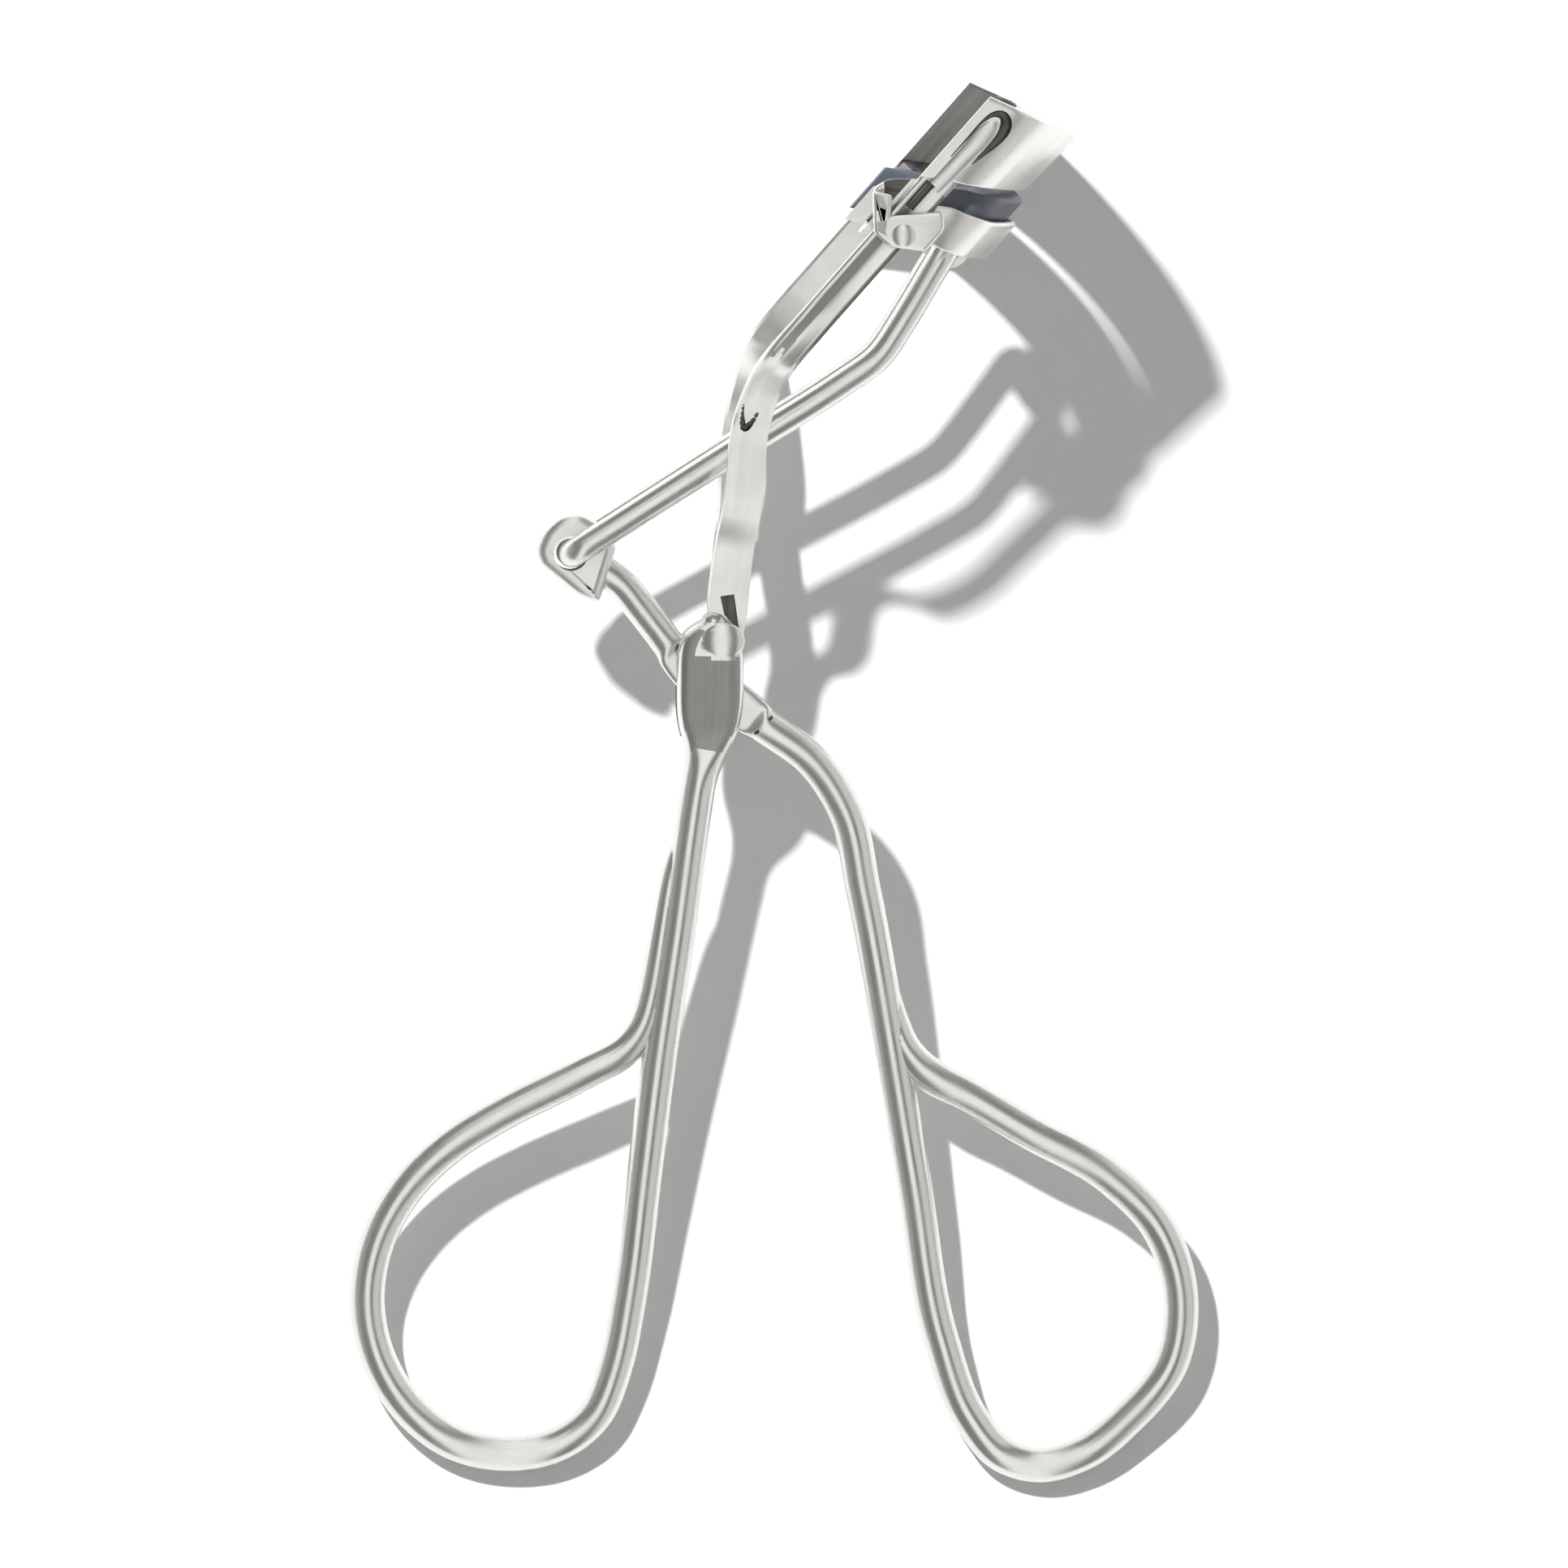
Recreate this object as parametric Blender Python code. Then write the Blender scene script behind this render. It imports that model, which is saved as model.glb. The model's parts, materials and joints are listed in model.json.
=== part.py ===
"""Eyelash curler: two wire handles that cross at a pivot and slide a padded lower jaw up to a fixed one.

The curler lies on its side on its two finger loops and one jaw end: +X across the handles,
+Y from the finger loops towards the jaws, +Z up. Each piece is drawn in the handles' own
plane (u across, v towards the jaws, w out of the plane, all measured from the handle pivot in
millimetres), and one empty then tips that plane into the lying pose.
"""
import math

import bmesh
import bpy
from mathutils import Matrix, Vector

MM = 0.001
MERGE = 0.000002

# Wire and rod sizes.
HANDLE_RADIUS = 1.3
ROD_RADIUS = 1.2
LINK_RADIUS = 1.0
PIN_RADIUS = 0.9

# Handle pivot: a slotted block on the fixed handle, with the moving lever's flat eye inside.
BLOCK_HALF = 2.6
SLOT_HALF = 1.45
SLOT_FLOOR = -3.3
EYE_HALF = 1.0
PIN_CLEARANCE = 0.1

# Knuckle cap on the lever's end, and the two places that the drive link turns on.
KNUCKLE = Vector((-10.6, 10.1))
CAP_HALF = 1.75
CAP_HOLE_RADIUS = 1.4
LINK_HALF = 3.1
JAW_EYE = Vector((16.9, 32.7))
LUG_HALF = 1.4
LUG_RADIUS = 1.75
LUG_HOLE_RADIUS = 1.2

# Rails: straight above RAIL_START, which is where s, the distance along them, is counted from.
RAIL_START = Vector((5.6, 26.6))
RAIL_SLOPE = math.radians(48.6)
RAIL_OFFSET = 15.0
RAIL_WIDTH = 2.4
RAIL_THICKNESS = 0.96
RAIL = Vector((math.cos(RAIL_SLOPE), math.sin(RAIL_SLOPE)))
ACROSS = Vector((RAIL.y, -RAIL.x))

# Jaws: both follow one plan, whose middle reaches away from the rails at JAW_SLOPE. The upper
# plate's top edge slopes more, so the plate gets lower towards its front.
JAW_SLOPE = math.radians(-8.0)
PLATE_TOP_SLOPE = math.radians(-24.2)
PLATE_TOP_REACH = 0.916
FRONT_RADIUS = 30.0
FRONT_REACH = 8.1
PLATE_THICKNESS = 1.0
PLATE_FOOT = 14.3
PLATE_TOP = 22.2
HOLDER_HALF_SPAN = 12.4
HOLDER_FOOT = 8.8
HOLDER_HEIGHT = 3.3
HOLDER_HALF = 1.7
HOLDER_WALL = 0.5
HOLDER_FLOOR = 0.8
PAD_HALF = 0.95
PAD_GAP = 0.25
PAD_RISE = 1.7
GUIDE_OUTLINE = (
    (10.75, 36.9), (10.85, 34.1), (12.0, 33.1), (14.6, 32.8), (15.7, 34.9), (13.9, 37.0),
)
GUIDE_HALF_DEPTH = 1.3
GUIDE_SLOT_HALF_WIDTH = 1.5
GUIDE_SLOT_HALF_DEPTH = 0.8

# Handle centre lines, from the pivot down to the finger loop and round to the wire's end.
FIXED_HANDLE = (
    (-0.9, -3.9), (-1.5, -8.9), (-2.7, -17.9), (-4.0, -26.8), (-5.1, -35.7), (-6.2, -44.6),
    (-7.3, -50.0), (-8.7, -53.3), (-11.3, -55.3), (-15.5, -56.0), (-19.0, -55.2), (-22.0, -53.0),
    (-24.4, -49.4), (-25.4, -44.8), (-24.7, -40.5), (-22.6, -36.6), (-19.6, -33.6),
    (-15.5, -31.0), (-10.7, -28.6), (-7.4, -26.8), (-6.5, -24.4),
)
MOVING_HANDLE = (
    (3.2, -1.95), (7.1, -5.1), (9.6, -8.9), (10.9, -14.6), (13.1, -26.8), (14.7, -36.3),
    (16.7, -47.6), (18.9, -53.4), (21.2, -56.1), (23.9, -56.9), (27.0, -56.1), (30.5, -53.4),
    (33.6, -49.4), (34.3, -45.0), (32.7, -39.5), (28.9, -35.6), (23.2, -32.4), (18.0, -29.3),
    (15.9, -25.9),
)
LEVER_ROD = ((-2.5, 2.25), (-5.3, 5.9), (-7.0, 7.95), (-8.8, 9.1))
LINK_LEG = ((-8.4, 11.5), (0.6, 17.25), (9.6, 22.9), (11.9, 24.55), (13.2, 26.5))

# Rail stations from the stem's tongue to the upper jaw: u, v, w, width, thickness.
RAIL_STATIONS = (
    (1.45, 2.9, 0.53, 1.3, 1.16), (1.0, 4.5, 0.53, 2.5, 1.16), (1.15, 5.8, 0.6, 2.9, 1.3),
    (1.5, 8.6, 0.6, 3.0, 1.3), (1.75, 11.0, 1.5, 3.0, 1.2), (2.05, 13.6, 4.9, 3.0, 1.1),
    (2.2, 15.4, 5.8, 3.0, 1.1), (2.5, 19.2, 6.0, 2.9, 1.1), (3.1, 22.0, 8.6, 2.7, 1.0),
    (4.3, 24.9, 13.6, 2.5, 1.0),
)
# Pivot block stations: v, low u, high u, half depth.
BLOCK_STATIONS = (
    (-5.4, -2.3, 0.4, 1.3), (-4.6, -2.5, 0.9, 1.9), (-3.6, -2.7, 1.6, 2.45),
    (-2.2, -2.8, 1.95, BLOCK_HALF), (3.6, -2.85, 2.1, BLOCK_HALF), (4.5, -2.3, 1.6, 2.2),
)
CAP_OUTLINE = (
    (-7.2, 10.8), (-8.5, 6.4), (-10.0, 6.9), (-12.9, 9.3), (-13.2, 10.3), (-12.7, 11.6),
    (-11.6, 12.7), (-10.2, 13.1), (-8.8, 12.5),
)
EYE_OUTLINE = (
    (-4.5, 1.4), (-1.6, -1.45), (0.4, -2.15), (3.0, -3.75), (4.8, -0.75), (1.6, 1.45),
    (-0.2, 2.15), (-1.9, 4.3),
)

METAL = ("plated_steel", (0.78, 0.77, 0.75, 1.0), 0.18, 1.0)
RUBBER = ("pad_rubber", (0.09, 0.10, 0.125, 1.0), 0.6, 0.0)


def to_metres(point, w=0.0):
    return Vector((point[0], point[1], w)) * MM


def on_rail(along, across=0.0):
    return RAIL_START + RAIL * along + ACROSS * across


def make_material(name, colour, roughness, metallic):
    material = bpy.data.materials.new(name)
    material.use_nodes = True
    shader = material.node_tree.nodes["Principled BSDF"]
    shader.inputs["Base Color"].default_value = colour
    shader.inputs["Roughness"].default_value = roughness
    shader.inputs["Metallic"].default_value = metallic
    return material


def add_object(name, data):
    thing = bpy.data.objects.new(name, data)
    collection.objects.link(thing)
    return thing


def mesh_object(name, shape):
    mesh = bpy.data.meshes.new(name)
    bmesh.ops.recalc_face_normals(shape, faces=shape.faces)
    shape.to_mesh(mesh)
    shape.free()
    return add_object(name, mesh)


def bake(thing):
    """The object as its modifiers leave it: one plain mesh with its seams welded."""
    bpy.context.view_layer.update()
    depsgraph = bpy.context.evaluated_depsgraph_get()
    mesh = bpy.data.meshes.new_from_object(thing.evaluated_get(depsgraph))
    name, matrix = thing.name, thing.matrix_world.copy()
    bpy.data.objects.remove(thing)
    shape = bmesh.new()
    shape.from_mesh(mesh)
    bmesh.ops.remove_doubles(shape, verts=shape.verts, dist=MERGE)
    shape.to_mesh(mesh)
    shape.free()
    baked = add_object(name, mesh)
    baked.matrix_world = matrix
    return baked


def combine(base, operation, others):
    """Boolean each of the others into, or out of, the base."""
    for other in others:
        change = base.modifiers.new(operation.lower(), "BOOLEAN")
        change.operation = operation
        change.solver = "EXACT"
        change.object = other
    result = bake(base)
    for other in others:
        bpy.data.objects.remove(other)
    return result


def smooth_path(points, pieces):
    """A curve through every point, with the tangents weighted by the distances either side."""
    lengths = [(b - a).length for a, b in zip(points, points[1:])]
    slopes = [(b - a) / d for a, b, d in zip(points, points[1:], lengths)]
    tangents = [slopes[0]]
    for k in range(1, len(slopes)):
        before, after = lengths[k - 1], lengths[k]
        tangents.append((slopes[k - 1] * after + slopes[k] * before) / (before + after))
    tangents.append(slopes[-1])
    path = []
    for k, length in enumerate(lengths):
        start, stop = points[k], points[k + 1]
        leave, arrive = tangents[k] * length, tangents[k + 1] * length
        for step in range(pieces):
            t = step / pieces
            path.append(start * (2 * t ** 3 - 3 * t ** 2 + 1) + leave * (t ** 3 - 2 * t ** 2 + t)
                        + stop * (3 * t ** 2 - 2 * t ** 3) + arrive * (t ** 3 - t ** 2))
    return path + [points[-1]]


def make_wire(name, path, radius, roundness=3):
    """A round wire along a path that is already in metres."""
    curve = bpy.data.curves.new(name, "CURVE")
    curve.dimensions = "3D"
    spline = curve.splines.new("POLY")
    spline.points.add(len(path) - 1)
    for point, place in zip(spline.points, path):
        point.co = (*place, 1.0)
    curve.bevel_depth = radius * MM
    curve.bevel_resolution = roundness
    curve.use_fill_caps = True
    return bake(add_object(name, curve))


def make_prism(name, outline, low, high):
    """A flat outline in the handles' plane, given depth from w = low to w = high."""
    curve = bpy.data.curves.new(name, "CURVE")
    curve.dimensions = "2D"
    curve.fill_mode = "BOTH"
    curve.extrude = (high - low) / 2 * MM
    spline = curve.splines.new("POLY")
    spline.points.add(len(outline) - 1)
    for point, place in zip(spline.points, outline):
        point.co = (*(to_metres(place)), 1.0)
    spline.use_cyclic_u = True
    prism = add_object(name, curve)
    prism.location.z = (high + low) / 2 * MM
    return bake(prism)


def make_pin(name, centre, radius, low, high, sides=24):
    """A cylinder across the handles' plane."""
    shape = bmesh.new()
    place = Matrix.Translation(to_metres(centre, (low + high) / 2))
    bmesh.ops.create_cone(shape, cap_ends=True, segments=sides, radius1=radius * MM,
                          radius2=radius * MM, depth=(high - low) * MM, matrix=place)
    return mesh_object(name, shape)


def loft(name, rings):
    """A closed body through rings of equally many points."""
    shape = bmesh.new()
    rows = [[shape.verts.new(point) for point in ring] for ring in rings]
    count = len(rings[0])
    for lower, upper in zip(rows, rows[1:]):
        for k in range(count):
            shape.faces.new((lower[k], lower[(k + 1) % count], upper[(k + 1) % count], upper[k]))
    shape.faces.new(rows[0])
    shape.faces.new(rows[-1])
    return mesh_object(name, shape)


def handle_path(points):
    return smooth_path([to_metres(point) for point in points], 3)


def make_fixed_handle():
    """The fixed handle's wire and finger loop, forged at its top into the slotted pivot block."""
    rings = []
    for v, low, high, half in BLOCK_STATIONS:
        trim = min(0.5, half / 2)
        corners = ((low, half - trim), (low + trim, half), (high - trim, half), (high, half - trim))
        front = [Vector((u, v, w)) * MM for u, w in corners]
        back = [Vector((point.x, point.y, -point.z)) for point in reversed(front)]
        rings.append(front + back)
    block = loft("fixed_handle", rings)
    slot = make_prism("slot", ((-5, SLOT_FLOOR), (5, SLOT_FLOOR), (5, 8), (-5, 8)),
                      -SLOT_HALF, SLOT_HALF)
    bore = make_pin("bore", (0, 0), PIN_RADIUS + PIN_CLEARANCE, -4, 4)
    block = combine(block, "DIFFERENCE", [slot, bore])
    return combine(block, "UNION", [make_wire("wire", handle_path(FIXED_HANDLE), HANDLE_RADIUS)])


def make_moving_handle():
    """The moving handle's wire and loop, its flat eye on the pivot, and the lever rod beyond it."""
    eye = make_prism("moving_handle", EYE_OUTLINE, -EYE_HALF, EYE_HALF)
    wire = make_wire("wire", handle_path(MOVING_HANDLE), HANDLE_RADIUS)
    rod = make_wire("rod", handle_path(LEVER_ROD), ROD_RADIUS)
    whole = combine(eye, "UNION", [wire, rod])
    bore = make_pin("bore", (0, 0), PIN_RADIUS + PIN_CLEARANCE, -4, 4)
    return combine(whole, "DIFFERENCE", [bore])


def make_lever_cap():
    """The cap pressed on the lever's end, cross-drilled for the drive link's two ends."""
    cap = make_prism("lever_cap", CAP_OUTLINE, -CAP_HALF, CAP_HALF)
    mouth, seat = Vector(LEVER_ROD[2]), Vector(LEVER_ROD[3])
    reach = (seat - mouth).normalized()
    path = [to_metres(mouth - reach), to_metres(seat + reach * 0.25)]
    socket = make_wire("socket", path, ROD_RADIUS + 0.2)
    hole = make_pin("hole", KNUCKLE, CAP_HOLE_RADIUS, -3, 3)
    return combine(cap, "DIFFERENCE", [socket, hole])


def make_drive_link():
    """One wire bent into a narrow bail: its ends hook into the cap, its middle turns in the jaw's lug."""
    bend = 1.1
    leave = (Vector(LINK_LEG[0]) - KNUCKLE).normalized()
    arrive = (JAW_EYE - Vector(LINK_LEG[-1])).normalized()
    half = [to_metres(KNUCKLE, 0.3), to_metres(KNUCKLE, LINK_HALF - bend)]
    for turn in (30, 60, 90):
        angle = math.radians(turn)
        half.append(to_metres(KNUCKLE + leave * bend * (1 - math.cos(angle)),
                              LINK_HALF - bend + bend * math.sin(angle)))
    leg = [to_metres(point, LINK_HALF) for point in LINK_LEG]
    last = to_metres(JAW_EYE - arrive * bend, LINK_HALF)
    half += smooth_path([half.pop()] + leg + [last], 3)
    for turn in (30, 60, 90):
        angle = math.radians(turn)
        half.append(to_metres(JAW_EYE - arrive * bend * (1 - math.sin(angle)),
                              LINK_HALF - bend + bend * math.cos(angle)))
    other = [Vector((point.x, point.y, -point.z)) for point in reversed(half)]
    return make_wire("drive_link", half + other, LINK_RADIUS)


def rail_rings(side):
    """Flat strip sections from the stem's tongue, out through the fork and up one rail."""
    last = [(*on_rail(along), RAIL_OFFSET, RAIL_WIDTH, RAIL_THICKNESS) for along in (1.6, 4.5)]
    stations = [Vector(station) for station in RAIL_STATIONS] + [Vector(station) for station in last]
    path = smooth_path(stations, 3) + [Vector((*on_rail(18.0), RAIL_OFFSET, RAIL_WIDTH, RAIL_THICKNESS))]
    rings = []
    for k, station in enumerate(path):
        before, after = path[max(k - 1, 0)], path[min(k + 1, len(path) - 1)]
        along = Vector((after - before)[:3]).normalized()
        wide = Vector((0, 0, 1)).cross(along).normalized()
        deep = along.cross(wide)
        u, v, w, width, thickness = station
        ring = []
        for a, b in ((1, 1), (-1, 1), (-1, -1), (1, -1)):
            corner = Vector((u, v, w)) + wide * a * width / 2 + deep * b * thickness / 2
            ring.append(Vector((corner.x, corner.y, side * corner.z)) * MM)
        rings.append(ring)
    return rings


def jaw_plan(half_span, corner, back):
    """(reach, w) points round a jaw: straight side, rounded corner, broad front, and back again."""
    centre = FRONT_REACH - FRONT_RADIUS
    corner_w = half_span - corner
    lean = math.asin(corner_w / (FRONT_RADIUS - corner))
    corner_reach = centre + (FRONT_RADIUS - corner) * math.cos(lean)
    half = [(back, half_span)]
    for k in range(6):
        turn = (math.pi / 2 - lean) * k / 5
        half.append((corner_reach + corner * math.sin(turn), corner_w + corner * math.cos(turn)))
    for k in range(1, 9):
        turn = lean * (1 - k / 8)
        half.append((centre + FRONT_RADIUS * math.cos(turn), FRONT_RADIUS * math.sin(turn)))
    return half + [(reach, -w) for reach, w in reversed(half[:-1])]


def jaw_line(plan, foot, slope, stretch=1.0):
    """The plan laid out from a height on the rails, as points in space."""
    start = on_rail(foot, -RAIL_WIDTH / 2)
    bulge = Vector((math.cos(slope), math.sin(slope))) * stretch
    return [Vector((*(start + bulge * reach), w)) for reach, w in plan]


def sweep_jaw(name, low, high, section):
    """A section, in (outward, share of the height) pairs, carried along two lines round a jaw."""
    rings = []
    for k, (foot, head) in enumerate(zip(low, high)):
        along = low[min(k + 1, len(low) - 1)] - low[max(k - 1, 0)]
        outward = (head - foot).cross(along).normalized()
        rings.append([(foot + outward * out + (head - foot) * share) * MM for out, share in section])
    return loft(name, rings)


def sweep_straight(name, plan, section):
    """A section, in (outward, up the rails) pairs, carried round the lower jaw's plan."""
    low = jaw_line(plan, HOLDER_FOOT, JAW_SLOPE)
    high = jaw_line(plan, HOLDER_FOOT + 1, JAW_SLOPE)
    return sweep_jaw(name, low, high, section)


def make_jaw_frame():
    """Stem, forked rails and curved upper jaw plate, stamped from one sheet."""
    half = PLATE_THICKNESS / 2
    plan = jaw_plan(RAIL_OFFSET, 3.5, 0.0)
    low = jaw_line(plan, PLATE_FOOT, JAW_SLOPE)
    high = jaw_line(plan, PLATE_TOP, PLATE_TOP_SLOPE, PLATE_TOP_REACH)
    plate = sweep_jaw("jaw_frame", low, high, ((-half, 0), (half, 0), (half, 1), (-half, 1)))
    rails = [loft("rail", rail_rings(side)) for side in (1, -1)]
    return combine(plate, "UNION", rails)


def make_guide(side):
    """A collar that rides on one rail."""
    middle, inner = side * RAIL_OFFSET, GUIDE_SLOT_HALF_WIDTH
    body = make_prism("guide", GUIDE_OUTLINE, middle - GUIDE_HALF_DEPTH, middle + GUIDE_HALF_DEPTH)
    gap = [on_rail(6, -inner), on_rail(6, inner), on_rail(16, inner), on_rail(16, -inner)]
    slot = make_prism("slot", gap, middle - GUIDE_SLOT_HALF_DEPTH, middle + GUIDE_SLOT_HALF_DEPTH)
    return combine(body, "DIFFERENCE", [slot])


def make_lower_jaw():
    """The pad's channel, with a guide collar at each end and the drive link's lug under its middle."""
    wide, thin, floor, top = HOLDER_HALF, HOLDER_HALF - HOLDER_WALL, HOLDER_FLOOR, HOLDER_HEIGHT
    section = ((-wide, 0), (wide, 0), (wide, top), (thin, top), (thin, floor), (-thin, floor),
               (-thin, top), (-wide, top))
    holder = sweep_straight("lower_jaw", jaw_plan(HOLDER_HALF_SPAN, 2.2, -0.6), section)
    lug = make_pin("lug", JAW_EYE, LUG_RADIUS, -LUG_HALF, LUG_HALF)
    outline = [on_rail(12.2, 3.4), on_rail(12.2, 6.1), on_rail(14.0, 6.6), on_rail(14.0, 4.0)]
    neck = make_prism("neck", outline, -LUG_HALF, LUG_HALF)
    whole = combine(holder, "UNION", [lug, neck, make_guide(1), make_guide(-1)])
    return combine(whole, "DIFFERENCE", [make_pin("eye", JAW_EYE, LUG_HOLE_RADIUS, -3, 3)])


def make_lash_pad():
    """The rubber strip that sits in the lower jaw's channel."""
    low, top, half = HOLDER_FLOOR + PAD_GAP, HOLDER_HEIGHT + PAD_RISE, PAD_HALF
    section = ((-half, low), (half, low), (half, top - 0.4), (half - 0.4, top),
               (0.4 - half, top), (-half, top - 0.4))
    return sweep_straight("lash_pad", jaw_plan(HOLDER_HALF_SPAN, 2.2, -0.8), section)


def add_empty(name, place, parent):
    empty = add_object(name, None)
    empty.location = place
    empty.parent = parent
    return empty


def hang(thing, holder, material):
    """Parent a piece to its joint's empty, with its mesh counted from that empty."""
    thing.data.transform(Matrix.Translation(-holder.location))
    thing.parent = holder
    thing.data.materials.clear()
    thing.data.materials.append(material)
    thing.data.shade_smooth()
    thing.data.set_sharp_from_angle(angle=math.radians(35))


def lay_down(plane):
    """Tip the plane onto the finger loops and the foot of the lower rail, centred over the origin."""
    loop_bottom = min(point[1] for point in MOVING_HANDLE)
    drop = RAIL_OFFSET + RAIL_THICKNESS / 2 - HANDLE_RADIUS
    plane.rotation_euler.x = math.atan2(drop, RAIL_START.y - loop_bottom)
    bpy.context.view_layer.update()
    corners = [thing.matrix_world @ vertex.co
               for thing in collection.objects if thing.type == "MESH"
               for vertex in thing.data.vertices]
    low = Vector([min(corner[axis] for corner in corners) for axis in range(3)])
    high = Vector([max(corner[axis] for corner in corners) for axis in range(3)])
    plane.location = (-(low.x + high.x) / 2, -(low.y + high.y) / 2, -low.z)


for thing in list(bpy.data.objects):
    bpy.data.objects.remove(thing)
collection = bpy.data.collections.new("eyelash_curler")
bpy.context.scene.collection.children.link(collection)

metal = make_material(*METAL)
rubber = make_material(*RUBBER)

handles_plane = add_empty("handles_plane", (0, 0, 0), None)
lever_pivot = add_empty("lever_pivot", (0, 0, 0), handles_plane)
jaw_slide = add_empty("jaw_slide", to_metres(RAIL_START), handles_plane)
link_pivot = add_empty("link_pivot", to_metres(JAW_EYE), handles_plane)

hang(make_jaw_frame(), handles_plane, metal)
hang(make_fixed_handle(), handles_plane, metal)
hang(make_pin("pivot_pin", (0, 0), PIN_RADIUS, -BLOCK_HALF, BLOCK_HALF), handles_plane, metal)
hang(make_moving_handle(), lever_pivot, metal)
hang(make_lever_cap(), lever_pivot, metal)
hang(make_drive_link(), link_pivot, metal)
hang(make_lower_jaw(), jaw_slide, metal)
hang(make_lash_pad(), jaw_slide, rubber)
lay_down(handles_plane)
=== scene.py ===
"""Visible shapes, finishes, studio and camera for the eyelash curler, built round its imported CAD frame.

Every piece is drawn in the handles' own plane (u across, v towards the jaws, w out of the plane,
in millimetres from the handle pivot), then laid down with the plane that the pivot's record gives.
"""

import json
import math

import bmesh
import bpy
from mathutils import Matrix, Vector
from mathutils.kdtree import KDTree


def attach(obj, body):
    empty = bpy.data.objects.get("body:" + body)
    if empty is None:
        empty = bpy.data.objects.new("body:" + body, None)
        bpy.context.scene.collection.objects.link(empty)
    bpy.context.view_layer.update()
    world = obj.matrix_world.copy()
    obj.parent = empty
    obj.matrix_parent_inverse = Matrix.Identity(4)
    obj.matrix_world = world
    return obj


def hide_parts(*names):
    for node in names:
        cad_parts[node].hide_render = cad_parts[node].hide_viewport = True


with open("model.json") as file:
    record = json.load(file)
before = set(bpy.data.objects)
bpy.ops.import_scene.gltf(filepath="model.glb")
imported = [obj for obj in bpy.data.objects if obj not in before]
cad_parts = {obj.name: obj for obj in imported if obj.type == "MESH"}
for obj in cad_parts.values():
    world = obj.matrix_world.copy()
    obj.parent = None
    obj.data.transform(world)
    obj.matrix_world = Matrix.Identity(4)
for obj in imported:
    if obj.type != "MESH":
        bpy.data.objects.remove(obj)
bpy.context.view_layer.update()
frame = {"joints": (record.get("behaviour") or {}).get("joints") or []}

MM = 0.001
OUT = Vector((0, 0, 1))
SMOOTH_ANGLE = math.radians(38)

# Sizes in millimetres; most are the CAD part's, and a few follow the photographed piece more closely.
HANDLE_RADIUS = 1.3
ROD_RADIUS = 1.2
LINK_RADIUS = 1.0
PIN_RADIUS = 0.9
BLOCK_HALF = 2.6
SLOT_HALF = 1.45
SLOT_FLOOR = -3.3
SLOT_TOP = 9.0
SLOT_REACH = 5.0
BORE_HALF = BLOCK_HALF - 0.25
BORE_RADIUS = PIN_RADIUS + 0.03
EYE_BORE_RADIUS = PIN_RADIUS + 0.05
EYE_HALF = 1.0
KNUCKLE = Vector((-10.6, 10.1))
CAP_HALF = 1.75
CAP_EDGE = 0.75
CAP_CORNER = 0.7
CAP_HOLE_RADIUS = 1.25
SOCKET_MOUTH = Vector((-7.0, 7.95))
SOCKET_SEAT = Vector((-8.8, 9.1))
SOCKET_RADIUS = ROD_RADIUS + 0.12
LINK_HALF = 3.1
LINK_BEND = 1.1
JAW_EYE = Vector((16.9, 32.7))
LUG_HALF = 1.4
LUG_RADIUS = 1.75
LUG_HOLE_RADIUS = 1.2

RAIL_START = Vector((5.6, 26.6))
RAIL_SLOPE = math.radians(48.6)
RAIL_OFFSET = 15.0
RAIL_WIDTH = 2.4
RAIL_THICKNESS = 0.96
RAIL_TOP = 18.0
RAIL_STRAIGHT = (1.6, 4.5)
RIB_FOOT = 19.5
RIB_FULL = 23.0
RAIL = Vector((math.cos(RAIL_SLOPE), math.sin(RAIL_SLOPE)))
ACROSS = Vector((RAIL.y, -RAIL.x))
JAW_SLOPE = math.radians(-8.0)
PLATE_TOP_SLOPE = math.radians(-24.2)
PLATE_TOP_REACH = 0.916
FRONT_RADIUS = 30.0
FRONT_REACH = 8.1
PLATE_THICKNESS = 1.0
PLATE_FOOT = 14.3
PLATE_TOP = 22.2
PLATE_CORNER = 3.5
PLATE_EDGE = 0.4
HOLDER_HALF_SPAN = 12.4
HOLDER_FOOT = 8.8
HOLDER_HEIGHT = 3.3
HOLDER_HALF = 1.7
HOLDER_WALL = 0.5
HOLDER_FLOOR = 0.8
HOLDER_CORNER = 2.2
HOLDER_BACK = -0.6
PAD_HALF = 0.95
PAD_GAP = 0.25
PAD_RISE = 1.7
PAD_BACK = -0.8
GUIDE_HALF_DEPTH = 1.3
GUIDE_FACE = 0.3
GUIDE_PIT_DEPTH = 1.0
GUIDE_SLOT_HALF_DEPTH = 0.8

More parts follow.
